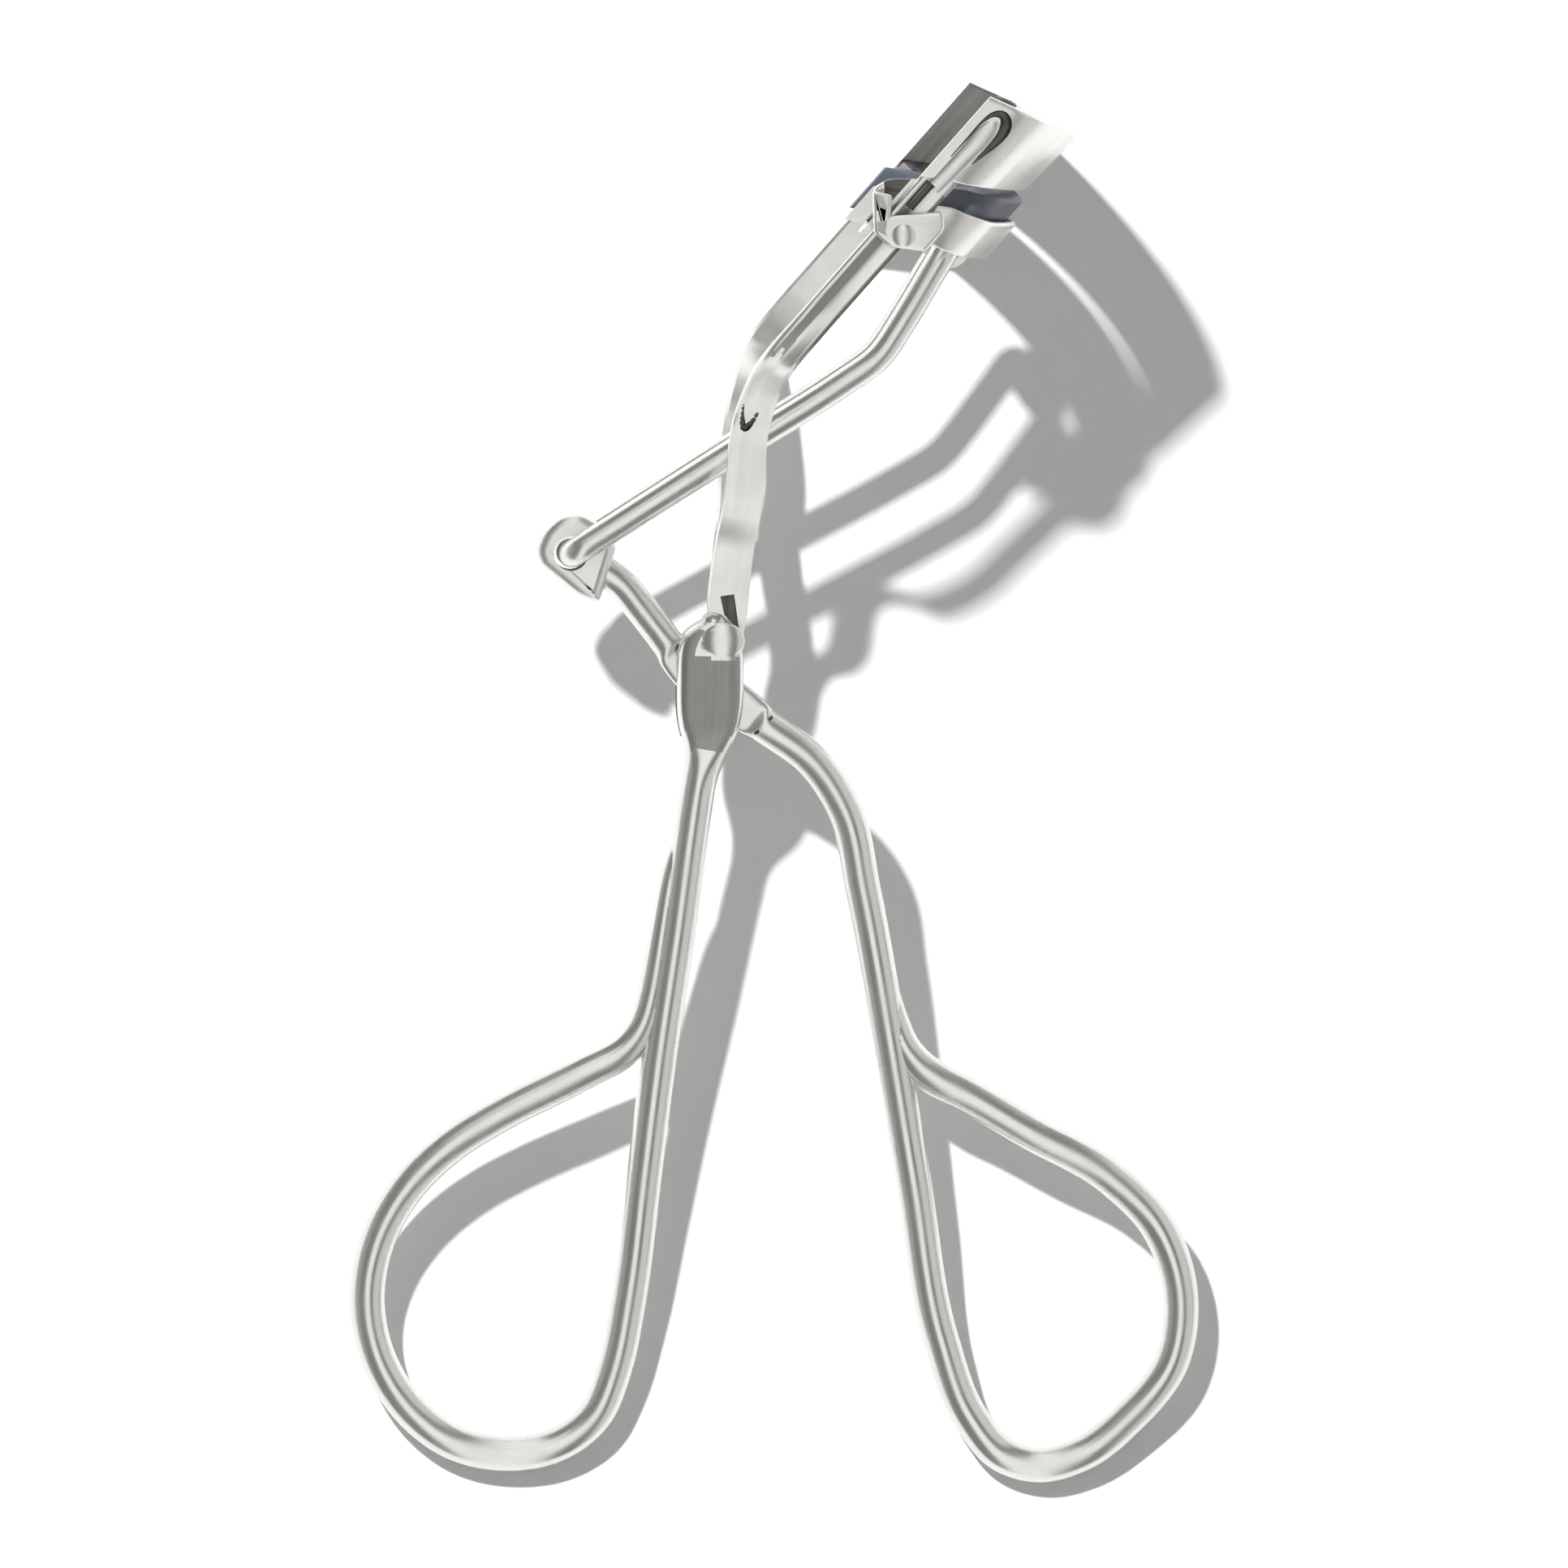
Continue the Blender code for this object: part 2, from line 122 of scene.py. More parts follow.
# Handle stations: u, v, half width, half depth, squareness (2 is round, more is boxier).
FIXED_HANDLE = (
    (-0.1, 5.0, 1.1, 1.9, 2.6), (-0.2, 4.5, 1.8, 2.35, 3.2), (-0.35, 3.5, 2.4, 2.6, 5.0),
    (-0.38, 1.0, 2.45, 2.6, 6.0), (-0.42, -1.6, 2.4, 2.6, 6.0), (-0.55, -3.2, 2.1, 2.45, 4.5),
    (-0.75, -4.6, 1.6, 1.9, 2.8), (-1.1, -6.3, 1.32, 1.35, 2.0),
    *((u, v, HANDLE_RADIUS, HANDLE_RADIUS, 2.0) for u, v in (
        (-1.5, -8.9), (-2.7, -17.9), (-4.0, -26.8), (-5.1, -35.7), (-6.2, -44.6), (-7.3, -50.0),
        (-8.7, -53.3), (-11.3, -55.3), (-15.5, -56.0), (-19.0, -55.2), (-22.0, -53.0),
        (-24.4, -49.4), (-25.4, -44.8), (-24.7, -40.5), (-22.6, -36.6), (-19.6, -33.6),
        (-15.5, -31.0), (-10.7, -28.6))),
    (-8.95, -27.7, 1.28, 1.28, 2.0), (-6.5, -26.4, 1.24, 1.24, 2.0), (-5.2, -24.6, 1.15, 1.15, 2.0),
    (-4.65, -22.7, 1.1, 1.1, 2.0), (-4.0, -19.0, 1.0, 1.0, 2.0), (-3.6, -16.3, 0.9, 0.9, 2.0),
    (-3.05, -13.1, 0.75, 0.75, 2.0), (-2.4, -10.9, 0.6, 0.6, 2.0),
)
MOVING_HANDLE = (
    (-8.6, 9.0, ROD_RADIUS, ROD_RADIUS, 2.0), (-7.0, 7.95, ROD_RADIUS, ROD_RADIUS, 2.0),
    (-5.3, 5.9, ROD_RADIUS, ROD_RADIUS, 2.0), (-3.8, 3.95, ROD_RADIUS, ROD_RADIUS, 2.0),
    (-3.25, 3.2, ROD_RADIUS, ROD_RADIUS, 2.2), (-3.0, 2.9, 1.4, EYE_HALF, 5.0),
    (-1.6, 1.4, 1.6, EYE_HALF, 7.0), (0.0, 0.0, 1.7, EYE_HALF, 7.0),
    (1.9, -1.25, 1.55, EYE_HALF, 7.0), (3.2, -2.2, 1.42, EYE_HALF, 5.0),
    (3.5, -2.45, HANDLE_RADIUS, HANDLE_RADIUS, 2.2),
    *((u, v, HANDLE_RADIUS, HANDLE_RADIUS, 2.0) for u, v in (
        (4.3, -3.0), (7.1, -5.1), (9.6, -8.9), (10.9, -14.6), (13.1, -26.8), (14.7, -36.3),
        (16.7, -47.6), (18.9, -53.4), (21.2, -56.1), (23.9, -56.9), (27.0, -56.1), (30.5, -53.4),
        (33.6, -49.4), (34.3, -45.0), (32.7, -39.5), (28.9, -35.6), (23.2, -32.4), (18.6, -29.7))),
    (16.5, -28.6, 1.3, 1.3, 2.0), (15.1, -27.6, 1.25, 1.25, 2.0), (14.0, -26.2, 1.15, 1.15, 2.0),
    (13.3, -24.3, 1.0, 1.0, 2.0), (12.7, -22.0, 0.85, 0.85, 2.0),
)
LINK_LEG = ((-8.4, 11.5), (0.6, 17.25), (9.6, 22.9), (11.9, 24.55), (13.2, 26.5))
CAP_OUTLINE = (
    (-7.2, 10.8), (-8.5, 6.4), (-10.0, 6.9), (-12.9, 9.3), (-13.2, 10.3), (-12.7, 11.6),
    (-11.6, 12.7), (-10.2, 13.1), (-8.8, 12.5),
)
# Guide collar: a tall wall left of the rail, and a low strip across the rail's outer face.
GUIDE_WALL = ((10.75, 37.2), (10.85, 34.1), (11.9, 33.6), (12.2, 36.9))
GUIDE_STRIP = (
    (10.8, 35.2), (10.85, 34.1), (12.0, 33.1), (14.6, 32.8), (16.0, 34.4), (15.9, 35.7), (12.4, 35.4),
)
GUIDE_BODY = (
    (10.9, 37.4), (10.85, 34.1), (12.0, 33.1), (14.6, 32.8), (15.7, 34.9), (14.6, 38.0), (12.0, 38.0),
)
# The far guide shows no wall beyond its rail.
GUIDE_FAR_BODY = (
    (13.3, 36.9), (12.3, 35.6), (12.4, 33.5), (14.6, 32.8), (15.7, 34.9), (13.9, 37.0),
)
GUIDE_PIT = ((11.6, 38.2), (11.7, 36.0), (12.6, 35.9), (13.9, 37.4), (14.2, 38.2))
BOSS = Vector((13.0, 33.95))
BOSS_RADIUS = 0.85
BOSS_RISE = 0.28

# Corners given up the rail and across it: the guides' slots, the lug's neck, and the far end of the
# pad's channel, which the photograph doesn't show.
GUIDE_SLOT = ((6, -1.5), (6, 1.25), (16, 1.25), (16, -1.5))
LUG_NECK = ((12.2, 3.4), (12.2, 6.1), (14.0, 6.6), (14.0, 4.0))
FAR_TRIM = ((7, -1.3), (16, -1.3), (16, -5), (7, -5))
FAR_TRIM_BAND = (-20, -11)

# A rail's pressed outer face: share of the half width, and height below the outer face in mm.
RIB_PROFILE = (
    (0.97, -0.42), (0.86, -0.34), (0.5, -0.32), (0.15, -0.31), (-0.08, -0.27), (-0.56, -0.03),
    (-0.7, 0.0), (-0.86, -0.02), (-0.97, -0.14),
)
# The groove pressed round the rib's end, its walls dark with painted shade: up the rail, across it, and how
# wide it is cut.
RIB_HOOK = (
    (17.0, -0.5, 0.04), (19.0, -0.48, 0.07), (20.5, -0.45, 0.11), (21.4, -0.2, 0.2),
    (21.8, 0.36, 0.34), (21.5, 0.95, 0.44), (20.8, 1.25, 0.44), (19.8, 1.27, 0.34), (18.7, 1.15, 0.2),
    (17.6, 1.05, 0.07),
)
# The rib on the jaw plate itself: up the rail, across it, half width and height above the plate.
RIB_CREST = (
    (14.4, 0.1, 0.5, 0.12), (16.0, 0.2, 0.6, 0.2), (18.0, 0.28, 0.66, 0.24), (20.2, 0.34, 0.68, 0.24),
    (20.8, 0.35, 0.5, 0.18), (21.15, 0.36, 0.2, 0.08),
)
# The notch where a rail's rib begins, its walls dark with painted shade: v, across the rail, and how wide it
# is cut.
RIB_NOTCH = (
    (21.4, -1.0, 0.08), (20.4, -0.75, 0.16), (19.7, -0.4, 0.3), (20.2, -0.05, 0.22), (21.5, 0.35, 0.08),
)
# The slot in each rail above its guide, its walls dark with painted shade: places up the rail, across it, and
# the radius of the cut.
RAIL_SLOT = (12.2, 13.4, 14.6)
RAIL_SLOT_ACROSS = -0.25
RAIL_SLOT_RADIUS = 0.42

# Where the forged block's cheeks end, its rounded lobe, and the hollow beside the stem's foot, whose walls
# take painted shade.
CHEEK_END = -4.3
LOBE = Vector((0.5, 3.75))
LOBE_RADIUS = 1.6
LOBE_SQUASH = 0.85
LOBE_DEPTH = 2.35
LOBE_RISE = 0.5
PIT_OUTLINE = ((0.35, 6.95), (1.36, 7.1), (1.75, 4.4), (1.3, 4.9), (0.65, 5.6))
PIT_FLOOR = 0.55
PIT_MOUTH = 3.2
PIT_REACH = 0.8
# The crease where the moving handle's eye meets its wire, its walls dark with painted shade: u, v and w on
# the near side, and its radius.
CREASE = ((4.5, -1.55, 1.12), (3.55, -2.5, 1.08), (2.6, -3.5, 1.12))
CREASE_RADIUS = 0.13
# The pin's turned profile: w and radius.
PIN_PROFILE = ((-2.3, 0.72), (-2.15, PIN_RADIUS), (2.15, PIN_RADIUS), (2.3, 0.72))

# How squarely a face has to look out of the plane to take the darker nickel of its region: painted shade in
# the pit, on the far plate and in the valleys, and darker satin on the cheeks.
CHEEK_FACING = 0.75
PIT_FACING = 0.9
PLATE_FACING = 0.6
VALLEY_FACING = 0.8
VALLEY_LEAN = 0.2
# The band of w that holds the far side of the jaw plate, and the w that every rail stays within.
FAR_PLATE = (-16.0, -13.0)
RAIL_LIMIT = 16.0

# Rail stations from the stem's tongue to the upper jaw: u, v, w, width, thickness.
RAIL_STATIONS = (
    (1.45, 2.9, 0.53, 1.3, 1.16), (0.95, 4.5, 0.53, 2.5, 1.16), (0.9, 5.8, 0.6, 2.85, 1.3),
    (1.15, 8.6, 0.6, 2.9, 1.3), (1.35, 10.5, 1.5, 2.85, 1.2), (1.8, 13.9, 4.9, 2.8, 1.1),
    (1.9, 15.4, 5.8, 2.8, 1.1), (2.25, 19.2, 6.0, 2.75, 1.1), (2.95, 22.0, 8.6, 2.65, 1.0),
    (4.25, 24.9, 13.6, 2.5, 1.0),
)

# Cards overhead, seen only in reflections: spans across and along the handles in degrees from the zenith,
# distance in metres, and glow.
CARDS = (
    ("sky_card", (-16, 13), (-89, 89), 1.5, 1.0),
    ("left_card", (-54, -16), (-89, 89), 1.5, 0.2),
    ("right_card", (13, 34), (-89, 89), 1.5, 0.16),
    ("rim_card", (34, 76), (-89, 89), 1.5, 0.66),
    ("key_card", (-25, -17), (24, 34), 1.3, 1.25),
)
# The key light: azimuth and angle from the zenith in degrees, distance and size in metres, and watts.
KEY_PLACE = (129, 34.5, 1.2)
KEY_SIZE = (0.05, 0.05)
KEY_WATTS = 15.0
AIR = (0.36, 0.36, 0.36, 1)
# Colour of the painted highlight that lightens sharp edges.
PAINTED_EDGE_LIGHT = (0.9, 0.885, 0.86, 1)
# The camera: what it looks at, how far it leans off the vertical, its distance, lens and roll.
VIEW_CENTRE = Vector((0.000634, -0.001128, 0.010))
VIEW_LEAN = (-0.045, -0.1150)
VIEW_DISTANCE = 3.0
VIEW_LENS = 940.8
VIEW_ROLL = 0.00554

pivot = next(joint for joint in frame["joints"] if joint["name"] == "handle_pivot")
tilt = math.atan2(-pivot["axis"][1], pivot["axis"][2])
PLANE = Matrix.Translation(pivot["pos_m"]) @ Matrix.Rotation(tilt, 4, "X")


# Curves and meshes.

def spot(point, w=0.0):
    return Vector((point[0], point[1], w)) * MM


def on_rail(along, across=0.0):
    return RAIL_START + RAIL * along + ACROSS * across


def smooth_path(points, pieces):
    """A curve through every point, with the tangents weighted by the distances either side."""
    points = [Vector(point) for point in points]
    lengths = [max((b - a).length, 1e-9) for a, b in zip(points, points[1:])]
    slopes = [(b - a) / d for a, b, d in zip(points, points[1:], lengths)]
    tangents = [slopes[0]]
    for k in range(1, len(slopes)):
        before, after = lengths[k - 1], lengths[k]
        tangents.append((slopes[k - 1] * after + slopes[k] * before) / (before + after))
    tangents.append(slopes[-1])
    path = []
    for k, length in enumerate(lengths):
        start, stop = points[k], points[k + 1]
        leave, arrive = tangents[k] * length, tangents[k + 1] * length
        for step in range(pieces):
            t = step / pieces
            path.append(start * (2 * t ** 3 - 3 * t ** 2 + 1) + leave * (t ** 3 - 2 * t ** 2 + t)
                        + stop * (3 * t ** 2 - 2 * t ** 3) + arrive * (t ** 3 - t ** 2))
    return path + [points[-1]]


def even_path(points, step, passes, places=2):
    """The same curve cut into even steps, then eased so that its bend changes gradually."""
    dense = smooth_path(points, 24)
    even, left = [dense[0]], step
    for a, b in zip(dense, dense[1:]):
        run = Vector((b - a)[:places]).length
        while run > 0 and left <= run:
            a = a + (b - a) * (left / run)
            even.append(a)
            run, left = Vector((b - a)[:places]).length, step
        left -= run
    even.append(dense[-1])
    for _ in range(passes):
        eased = [a * 0.25 + b * 0.5 + c * 0.25 for a, b, c in zip(even, even[1:], even[2:])]
        even = [even[0]] + eased + [even[-1]]
    return even


def fillet(outline, radius, steps=6):
    """A closed outline with every corner rounded."""
    points = [Vector(point) for point in outline]
    rounded = []
    for k, corner in enumerate(points):
        before, after = points[k - 1] - corner, points[(k + 1) % len(points)] - corner
        reach = min(radius, before.length * 0.45, after.length * 0.45)
        start, stop = corner + before.normalized() * reach, corner + after.normalized() * reach
        for step in range(steps + 1):
            t = step / steps
            rounded.append(start * (1 - t) ** 2 + corner * 2 * t * (1 - t) + stop * t ** 2)
    return rounded


def rounded_box(half_wide, low, high, radius, steps=5):
    """Section points, as (out, rise) pairs, of a box with rounded corners."""
    return fillet(((half_wide, low), (half_wide, high), (-half_wide, high), (-half_wide, low)), radius, steps)


def mesh_object(name, shape):
    mesh = bpy.data.meshes.new(name)
    bmesh.ops.recalc_face_normals(shape, faces=shape.faces)
    shape.to_mesh(mesh)
    shape.free()
    thing = bpy.data.objects.new(name, mesh)
    bpy.context.scene.collection.objects.link(thing)
    return thing


def loft(name, rings):
    """A closed body through rings of equally many points."""
    shape = bmesh.new()
    rows = [[shape.verts.new(point) for point in ring] for ring in rings]
    count = len(rings[0])
    for lower, upper in zip(rows, rows[1:]):
        for k in range(count):
            shape.faces.new((lower[k], lower[(k + 1) % count], upper[(k + 1) % count], upper[k]))
    shape.faces.new(rows[0])
    shape.faces.new(rows[-1])
    return mesh_object(name, shape)


def prism(name, outline, low, high):
    """A flat outline given depth, with sharp rims."""
    return loft(name, [[spot(point, w) for point in outline] for w in (low, high)])


def apply_modifiers(thing):
    bpy.context.view_layer.update()
    depsgraph = bpy.context.evaluated_depsgraph_get()
    mesh = bpy.data.meshes.new_from_object(thing.evaluated_get(depsgraph))
    thing.modifiers.clear()
    thing.data = mesh
    return thing


def combine(base, operation, others):
    """Boolean each of the others into, or out of, the base."""
    for other in others:
        change = base.modifiers.new(operation.lower(), "BOOLEAN")
        change.operation = operation
        change.solver = "EXACT"
        change.use_self = True
        change.material_mode = "TRANSFER"
        change.object = other
    apply_modifiers(base)
    for other in others:
        bpy.data.objects.remove(other)
    return base


def soften(thing, width, segments=3, angle=50):
    """Round over the sharp edges."""
    bevel = thing.modifiers.new("soften", "BEVEL")
    bevel.width = width * MM
    bevel.segments = segments
    bevel.limit_method = "ANGLE"
    bevel.angle_limit = math.radians(angle)
    bevel.use_clamp_overlap = True
    return apply_modifiers(thing)


def section_ring(centre, wide, deep, half_wide, half_deep, power, sides):
    """Points round a section that runs from an ellipse (power 2) to a box (a high power)."""
    ring = []
    for k in range(sides):
        turn = 2 * math.pi * k / sides
        c, s = math.cos(turn), math.sin(turn)
        a = math.copysign(abs(c) ** (2 / power), c) * half_wide
        b = math.copysign(abs(s) ** (2 / power), s) * half_deep
        ring.append((centre + wide * a + deep * b) * MM)
    return ring


def sweep_flat(name, stations, sides=44):
    """A body whose middle line lies in the handles' plane, with its section given at each station."""
    def ends(first, inner):
        """Rounded-off stations beyond the first one."""
        away = (Vector(first[:2]) - Vector(inner[:2])).normalized()
        reach = min(first[2], first[3])
        caps = []
        for t in (0.995, 0.95, 0.86, 0.72, 0.52, 0.27):
            shrink = math.sqrt(1 - t * t)
            place = Vector(first[:2]) + away * reach * t
            caps.append(Vector((*place, first[2] * shrink, first[3] * shrink, first[4])))
        return caps
    line = ends(stations[0], stations[1]) + list(stations) + ends(stations[-1], stations[-2])[::-1]
    rings = []
    for k, (u, v, half_wide, half_deep, power) in enumerate(line):
        before, after = line[max(k - 1, 0)], line[min(k + 1, len(line) - 1)]
        along = Vector((after[0] - before[0], after[1] - before[1], 0)).normalized()
        wide = Vector((along.y, -along.x, 0))
        rings.append(section_ring(Vector((u, v, 0)), wide, OUT, half_wide, half_deep, power, sides))
    return loft(name, rings)


def tube(name, path, radius, sides=32):
    """A round wire along a path in space, carried without twisting. The radius may be one per point."""
    count = len(path)
    radii = [radius] * count if isinstance(radius, float) else radius
    first = (path[1] - path[0]).normalized()
    deep = OUT if abs(first.z) < 0.9 else Vector((1, 0, 0))
    rings = []
    for k, point in enumerate(path):
        along = (path[min(k + 1, count - 1)] - path[max(k - 1, 0)]).normalized()
        wide = deep.cross(along).normalized()
        deep = along.cross(wide)
        rings.append(section_ring(point, wide, deep, radii[k], radii[k], 2, sides))
    return loft(name, rings)


def cushion(name, outline, low, high, edge, steps=5):
    """A flat outline given depth, with its two rims rounded over by the edge radius."""
    count = len(outline)
    turn = sum(a.x * b.y - b.x * a.y for a, b in zip(outline, outline[1:] + outline[:1]))
    inward = []
    for k in range(count):
        along = (outline[(k + 1) % count] - outline[k - 1]).normalized()
        inward.append(Vector((-along.y, along.x)) * math.copysign(1, turn))
    levels = []
    for k in range(steps + 1):
        angle = math.pi / 2 * k / steps
        levels.append((edge * (1 - math.sin(angle)), low + edge * (1 - math.cos(angle))))
    levels += [(inset, low + high - w) for inset, w in reversed(levels)]
    rings = [[spot(point + normal * inset, w) for point, normal in zip(outline, inward)]
             for inset, w in levels]
    return loft(name, rings)


def circle(centre, radius, sides=48):
    turns = [2 * math.pi * k / sides for k in range(sides)]
    return [Vector(centre) + Vector((math.cos(turn), math.sin(turn))) * radius for turn in turns]


def plug(name, centre, radius, low, high):
    """A cylinder across the handles' plane."""
    return prism(name, circle(centre, radius), low, high)


def ball(name, centre, radii, rows=24, sides=40):
    """An ellipsoid."""
    rings = []
    for k in range(rows + 1):
        angle = math.pi * (k + 0.25) / (rows + 0.5)
        reach, w = math.sin(angle), -math.cos(angle)
        rings.append([(Vector(centre) + Vector((radii[0] * reach * math.cos(2 * math.pi * n / sides),
                                                radii[1] * reach * math.sin(2 * math.pi * n / sides),
                                                radii[2] * w))) * MM for n in range(sides)])
    return loft(name, rings)


# Finishes.

def add_node(tree, kind, inputs=(), **settings):
    node = tree.nodes.new(kind)
    for key, value in settings.items():
        setattr(node, key, value)
    for key, value in inputs:
        if isinstance(value, bpy.types.NodeSocket):
            tree.links.new(value, node.inputs[key])
        else:
            node.inputs[key].default_value = value
    return node


def add_ramp(tree, factor, low, high):
    """A run between two stops, each a position with a colour or a plain value."""
    ramp = add_node(tree, "ShaderNodeValToRGB", [("Fac", factor)])
    for element, (position, colour) in zip(ramp.color_ramp.elements, (low, high)):
        element.position = position
        element.color = (*colour, 1) if isinstance(colour, tuple) else (colour, colour, colour, 1)
    return ramp.outputs["Color"]


def noise(tree, vector, scale, detail=3.0, roughness=0.5):
    return add_node(tree, "ShaderNodeTexNoise", [
        ("Vector", vector), ("Scale", scale), ("Detail", detail), ("Roughness", roughness),
    ]).outputs["Fac"]


def new_material(name):
    material = bpy.data.materials.new(name)
    material.use_nodes = True
    return material, material.node_tree, material.node_tree.nodes["Principled BSDF"]


def make_nickel(name, light, dark, gloss, haze, streak_depth, edge_highlight=0.5):
    """Nickel plate: drawn streaks along the metal, faint cloudiness, hair scratches, and sharp edges painted
    lighter as a painted highlight.

    Light and dark are the tones of the streaks; gloss and haze are the least and most roughness; the last
    argument is how far sharp edges take the painted highlight.
    """
    material, tree, shader = new_material(name)
    grain = add_node(tree, "ShaderNodeAttribute", attribute_name="grain").outputs["Vector"]

    def stretched(per_metre):
        return add_node(tree, "ShaderNodeVectorMath", [(0, grain), (1, per_metre)],
                        operation="MULTIPLY").outputs["Vector"]

    place = add_node(tree, "ShaderNodeTexCoord").outputs["Object"]
    streaks = noise(tree, stretched((60.0, 1600.0, 1600.0)), 1.0, 4.0, 0.6)
    clouds = noise(tree, place, 220.0, 3.0)
    scratches = noise(tree, stretched((900.0, 9000.0, 9000.0)), 1.0, 2.0)
    edge = add_node(tree, "ShaderNodeNewGeometry").outputs["Pointiness"]
    tone = add_ramp(tree, streaks, (0.3, dark), (0.62, light))
    # Sharp edges, found by pointiness, are painted lighter: a painted highlight.
    edge_lit = add_ramp(tree, edge, (0.5, 0.0), (0.56, edge_highlight))
    colour = add_node(tree, "ShaderNodeMix", [("Factor", edge_lit), ("A", tone), ("B", PAINTED_EDGE_LIGHT)],
                      data_type="RGBA")
    tree.links.new(colour.outputs["Result"], shader.inputs["Base Color"])
    cloudy = add_ramp(tree, clouds, (0.35, gloss), (0.7, haze))
    fine = add_node(tree, "ShaderNodeMath", [(0, scratches), (1, 0.08), (2, cloudy)],
                    operation="MULTIPLY_ADD")
    tree.links.new(fine.outputs["Value"], shader.inputs["Roughness"])
    shader.inputs["Metallic"].default_value = 1.0
    long_bump = add_node(tree, "ShaderNodeBump", [("Height", streaks), ("Strength", 0.5),
                                                  ("Distance", streak_depth * MM)])
    bump = add_node(tree, "ShaderNodeBump", [("Height", clouds), ("Strength", 0.4), ("Distance", 0.02 * MM),
                                             ("Normal", long_bump.outputs["Normal"])])
    tree.links.new(bump.outputs["Normal"], shader.inputs["Normal"])
    return material


def make_rubber():
    """Matt moulded rubber with a fine skin and a little bloom."""
    material, tree, shader = new_material("lash_pad_rubber")
    place = add_node(tree, "ShaderNodeTexCoord").outputs["Object"]
    bloom = noise(tree, place, 260.0, 4.0)
    skin = noise(tree, place, 5200.0, 3.0, 0.6)
    tree.links.new(add_ramp(tree, bloom, (0.3, (0.075, 0.088, 0.118)), (0.7, (0.125, 0.14, 0.178))),
                   shader.inputs["Base Color"])
    tree.links.new(add_ramp(tree, bloom, (0.3, 0.38), (0.75, 0.56)), shader.inputs["Roughness"])
    bump = add_node(tree, "ShaderNodeBump", [("Height", skin), ("Strength", 0.5), ("Distance", 0.02 * MM)])
    tree.links.new(bump.outputs["Normal"], shader.inputs["Normal"])
    return material


# Name, light and dark streak tones, gloss, haze, streak depth, and how far sharp edges take the painted
# highlight.
WIRE = make_nickel("nickel_wire", (0.87, 0.86, 0.83), (0.8, 0.79, 0.76), 0.2, 0.28, 0.006)
SHEET = make_nickel("nickel_sheet", (0.9, 0.89, 0.86), (0.83, 0.82, 0.79), 0.24, 0.34, 0.006)
# Near-black nickel for the walls of cuts: painted shade in creases, grooves, slots, hollows and holes.
RECESS_SHADE = make_nickel("nickel_painted_recess_shade", (0.2, 0.195, 0.185), (0.1, 0.097, 0.092), 0.35, 0.5, 0.006, 0.0)
# Rougher satin nickel painted darker: painted shade in the valleys beside the rails, and the darker tone of
# the block's cheeks.
SATIN_AND_SHADE = make_nickel("nickel_satin_painted_shade", (0.45, 0.44, 0.415), (0.38, 0.37, 0.35), 0.42, 0.55, 0.01, 0.05)
SHADED = make_nickel("nickel_shaded", (0.32, 0.315, 0.3), (0.2, 0.195, 0.185), 0.3, 0.42, 0.006, 0.05)
RUBBER = make_rubber()


def shade_lined_cutter(cutter):
    """A cutter whose walls take near-black nickel, painted shade in its cut."""
    cutter.data.materials.append(RECESS_SHADE)
    return cutter


def paint(thing, material, chosen):
    """Change the finish of the faces that are chosen by their place in mm and their normal."""
    index = thing.data.materials.find(material.name)
    for face in thing.data.polygons:
        if chosen(face.center / MM, face.normal):
            face.material_index = index


def dress(thing, node, body, material, line):
    """Give a finished piece its grain, lay it down, and let it stand for its CAD node."""
    tree = KDTree(len(line))
    runs = [0.0]
    for a, b in zip(line, line[1:]):
        runs.append(runs[-1] + (b - a).length)
    for k, point in enumerate(line):
        tree.insert(point, k)
    tree.balance()
    grain = thing.data.attributes.new("grain", "FLOAT_VECTOR", "POINT")
    for vertex, value in zip(thing.data.vertices, grain.data):
        centre, k, _ = tree.find(vertex.co)
        along = (line[min(k + 1, len(line) - 1)] - line[max(k - 1, 0)]).normalized()
        away = vertex.co - centre
        wide = OUT.cross(along)
        wide = wide.normalized() if wide.length > 0.1 else Vector((1, 0, 0))
        value.vector = (runs[k] + away.dot(along), away.dot(wide), away.dot(along.cross(wide)))
    if not thing.data.materials:
        thing.data.materials.append(material)
    thing.data.materials[0] = material
    thing.data.transform(PLANE)
    thing.data.shade_smooth()
    thing.data.set_sharp_from_angle(angle=SMOOTH_ANGLE)
    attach(thing, body)
    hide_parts(node)
    return thing


# The curler's pieces.

def shape_fixed_handle():
    """Wire handle with its loop run back into the shank, forged at the top into the slotted pivot block."""
    stations = even_path(FIXED_HANDLE, step=0.3, passes=10)
    handle = sweep_flat("fixed_handle_form", stations)
    outline = ((-SLOT_REACH, SLOT_FLOOR), (SLOT_REACH, SLOT_FLOOR), (SLOT_REACH, SLOT_TOP),
               (-SLOT_REACH, SLOT_TOP))
    slot = prism("slot", outline, -SLOT_HALF, SLOT_HALF)
    combine(handle, "DIFFERENCE", [slot, plug("bore", (0, 0), BORE_RADIUS, -BORE_HALF, BORE_HALF)])
    soften(handle, width=0.14)
    radii = (LOBE_RADIUS, LOBE_RADIUS * LOBE_SQUASH, LOBE_RISE)
    combine(handle, "UNION", [ball("lobe", (*LOBE, side * LOBE_DEPTH), radii) for side in (1, -1)])
    handle.data.materials.append(WIRE)
    handle.data.materials.append(SATIN_AND_SHADE)
    # The block's cheeks take the rougher satin nickel, painted darker.
    paint(handle, SATIN_AND_SHADE, lambda place, normal: (
        place.y > CHEEK_END and abs(normal.z) > CHEEK_FACING and (place.xy - LOBE).length > LOBE_RADIUS))
    line = [spot(station) for station in stations]
    return dress(handle, "fixed_handle", "frame", WIRE, line)


